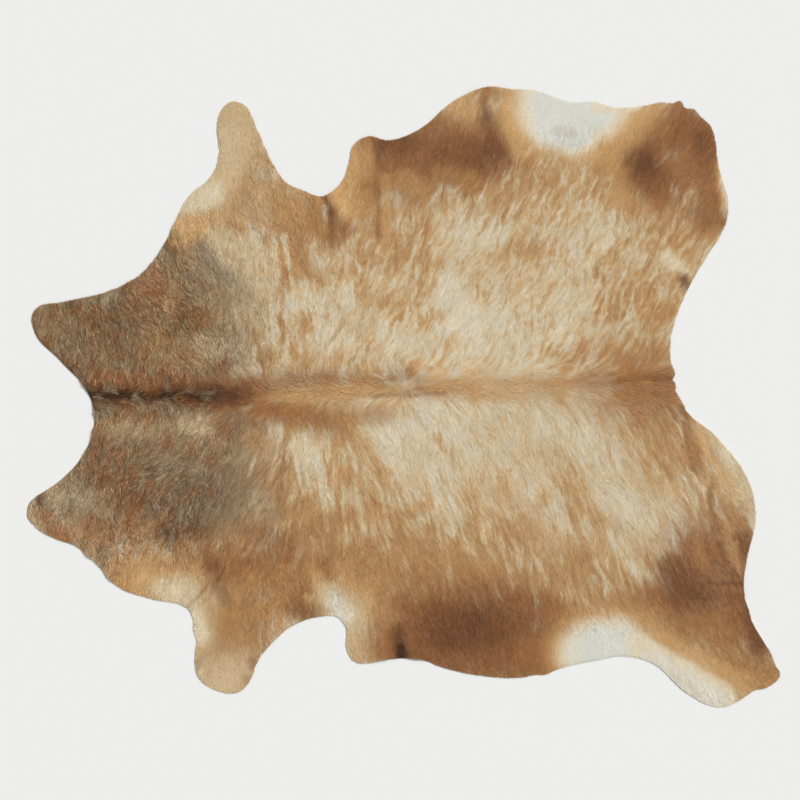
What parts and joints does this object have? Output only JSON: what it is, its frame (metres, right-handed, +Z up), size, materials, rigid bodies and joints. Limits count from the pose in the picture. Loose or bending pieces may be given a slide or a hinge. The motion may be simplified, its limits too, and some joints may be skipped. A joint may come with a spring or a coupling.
{
  "type": "cowhide rug",
  "caption": "Whole cattle hide tanned with its hair on, laid flat as a floor rug: natural outline with leg stubs, cream and tan brindle coat, grey-brown neck",
  "frame": {"origin": "under the middle of the hide's bounding box, on the surface that the hide lies on", "axes": "+X along the back from the neck edge to the tail, +Y across the back, +Z up through the hair side"},
  "size_m": [2.26, 1.859, 0.012],
  "materials": {
    "hide": "matt short hair on the upper face, pale suede underneath"
  },
  "bodies": {
    "root": {"hide": "hide"}
  },
  "joints": []
}
